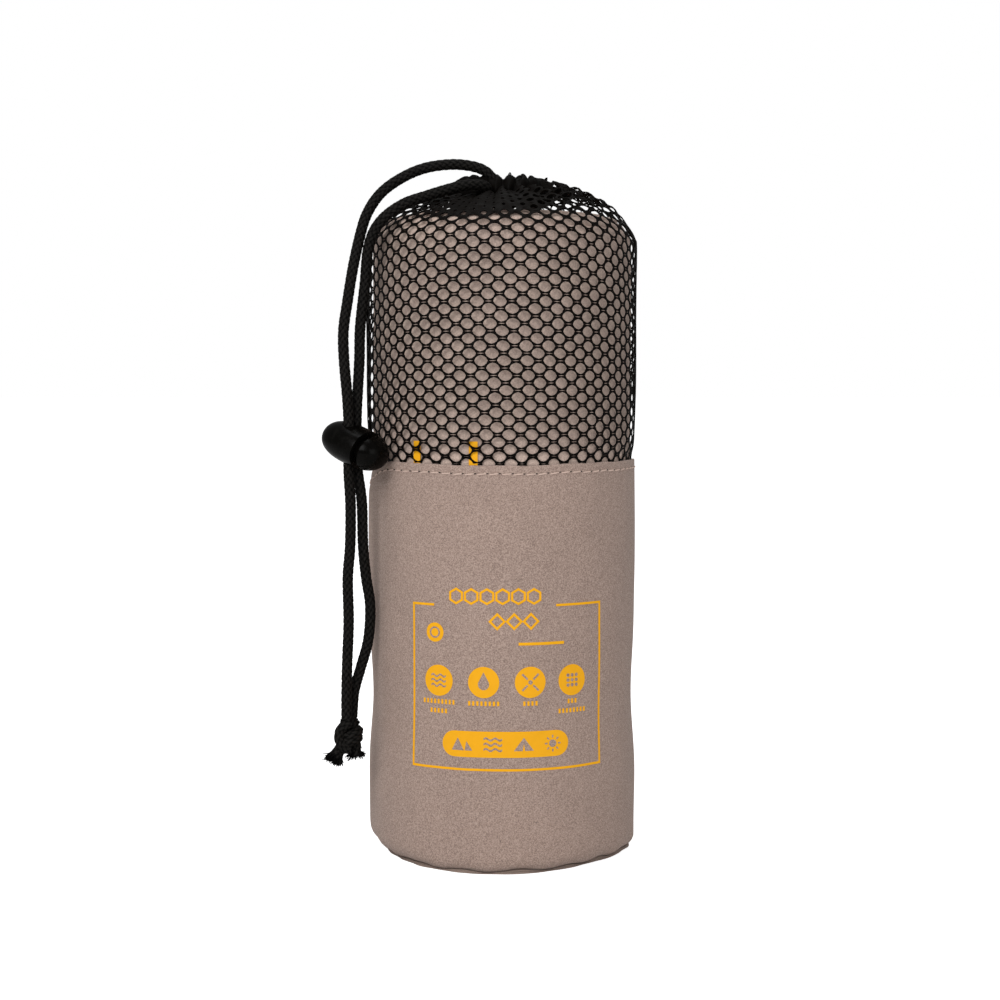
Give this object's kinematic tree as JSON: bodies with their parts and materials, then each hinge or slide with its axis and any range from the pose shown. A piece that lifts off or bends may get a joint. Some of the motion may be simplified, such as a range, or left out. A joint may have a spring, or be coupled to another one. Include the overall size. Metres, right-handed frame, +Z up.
{
  "type": "quick dry towel in drawstring bag",
  "caption": "Rolled quick-dry travel towel standing in a round drawstring bag with a cloth sleeve, a net upper, a gathered mouth and a sprung cord lock on the tails.",
  "frame": {"origin": "middle of the bag's base, on the surface that it stands on", "axes": "+Z up along the roll, -Y towards the printed front, -X towards the side where the cord lock hangs"},
  "size_m": [0.0987, 0.0864, 0.2181],
  "materials": {
    "taupe_cloth": "fine suede-like microfibre",
    "taupe_seam": "raw folded edge",
    "towel_cloth": "suede-like microfibre",
    "thread": "sewing thread",
    "net": "knitted polyester net",
    "cord": "braided polyester cord",
    "lock_plastic": "moulded, satin gloss",
    "spring_steel": "drawn wire"
  },
  "bodies": {
    "bag": {"bag_base": "taupe_seam", "base_seam": "taupe_seam", "bag_sleeve": "taupe_cloth", "sleeve_side_seam": "taupe_seam", "hem_topstitch": "thread", "mesh_upper": "net", "mesh_side_seam": "net", "drawcord_channel": "net", "channel_topstitch": "net", "drawcord_loop": "cord", "drawcord_tail_front": "cord", "drawcord_tail_rear": "cord", "end_knot": "cord", "cord_end_left": "cord", "cord_end_right": "cord", "towel_roll": "towel_cloth", "towel_edge_stitch": "thread"},
    "lock": {"lock_body": "lock_plastic", "lock_spring": "spring_steel"},
    "button": {"lock_button": "lock_plastic"}
  },
  "joints": [
    {"name": "lock_slide", "type": "slide", "parent": "bag", "child": "lock", "axis": [0, 0, 1], "range_m": [-0.076, 0.045], "deforming": ["drawcord_tail_front", "drawcord_tail_rear"]},
    {"name": "button_press", "type": "slide", "parent": "lock", "child": "button", "axis": [-0.7795, 0.5197, 0.3498], "range_m": [0, 0.002], "stiffness_N_per_m": 1500, "springref_m": -0.003, "deforming": ["lock_spring"]}
  ]
}
